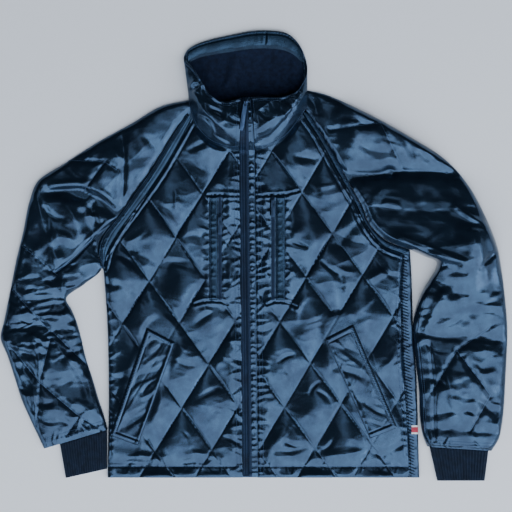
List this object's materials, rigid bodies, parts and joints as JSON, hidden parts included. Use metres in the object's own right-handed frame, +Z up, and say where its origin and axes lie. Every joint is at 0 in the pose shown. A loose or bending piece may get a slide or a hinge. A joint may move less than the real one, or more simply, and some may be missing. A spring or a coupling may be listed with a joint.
{
  "type": "quilted riding jacket laid flat",
  "caption": "Padded riding jacket laid flat: diamond-quilted fronts, raglan sleeves, tall stand collar, centre zip, chest zip pockets, slanted hand pockets and rib cuffs.",
  "frame": {"origin": "on the surface the jacket lies on, under the middle of its whole outline", "axes": "+Z up from the surface, +X towards the wearer's left sleeve, +Y from the hem to the collar"},
  "size_m": [0.9321, 0.8273, 0.0506],
  "materials": {
    "shell": "satin navy polyester taffeta, quilted over wadding",
    "binding": "satin navy taffeta strip, topstitched",
    "fleece": "matte navy polyester fleece",
    "rib_knit": "matte navy rib knit",
    "zip_teeth": "moulded dark plastic teeth on woven tape",
    "zip_metal": "dark lacquered zinc, slightly worn",
    "label": "woven tab, plain"
  },
  "bodies": {
    "jacket": {"back": "shell", "front_right": "shell", "front_left": "shell", "sleeve_right": "shell", "sleeve_left": "shell", "raglan_band_right": "binding", "raglan_band_left": "binding", "collar": "shell", "collar_facing": "shell", "collar_lining": "fleece", "cuff_right": "rib_knit", "cuff_left": "rib_knit", "zip_tape_right": "binding", "zip_tape_left": "binding", "zip_chain": "zip_teeth", "zip_slider": "zip_metal", "chest_welt_right": "shell", "chest_welt_left": "shell", "chest_zip_right": "zip_teeth", "chest_zip_left": "zip_teeth", "chest_slider_right": "zip_metal", "chest_slider_left": "zip_metal", "hand_welt_right": "shell", "hand_welt_left": "shell", "side_label": "label"},
    "main_pull": {"zip_pull_tab": "zip_metal"},
    "chest_pull_right": {"chest_pull_tab_right": "zip_metal"},
    "chest_pull_left": {"chest_pull_tab_left": "zip_metal"}
  },
  "joints": [
    {"name": "main_pull_swing", "type": "hinge", "parent": "jacket", "child": "main_pull", "pos_m": [-0.015, 0.281, 0.04457], "axis": [-0.9877, 0.1564, 0], "range_deg": [0, 150]},
    {"name": "chest_pull_right_swing", "type": "hinge", "parent": "jacket", "child": "chest_pull_right", "pos_m": [-0.0624, 0.07, 0.01801], "axis": [-1, 0, 0], "range_deg": [0, 150]},
    {"name": "chest_pull_left_swing", "type": "hinge", "parent": "jacket", "child": "chest_pull_left", "pos_m": [0.035, 0.102, 0.01794], "axis": [-1, 0, 0], "range_deg": [0, 150]}
  ]
}
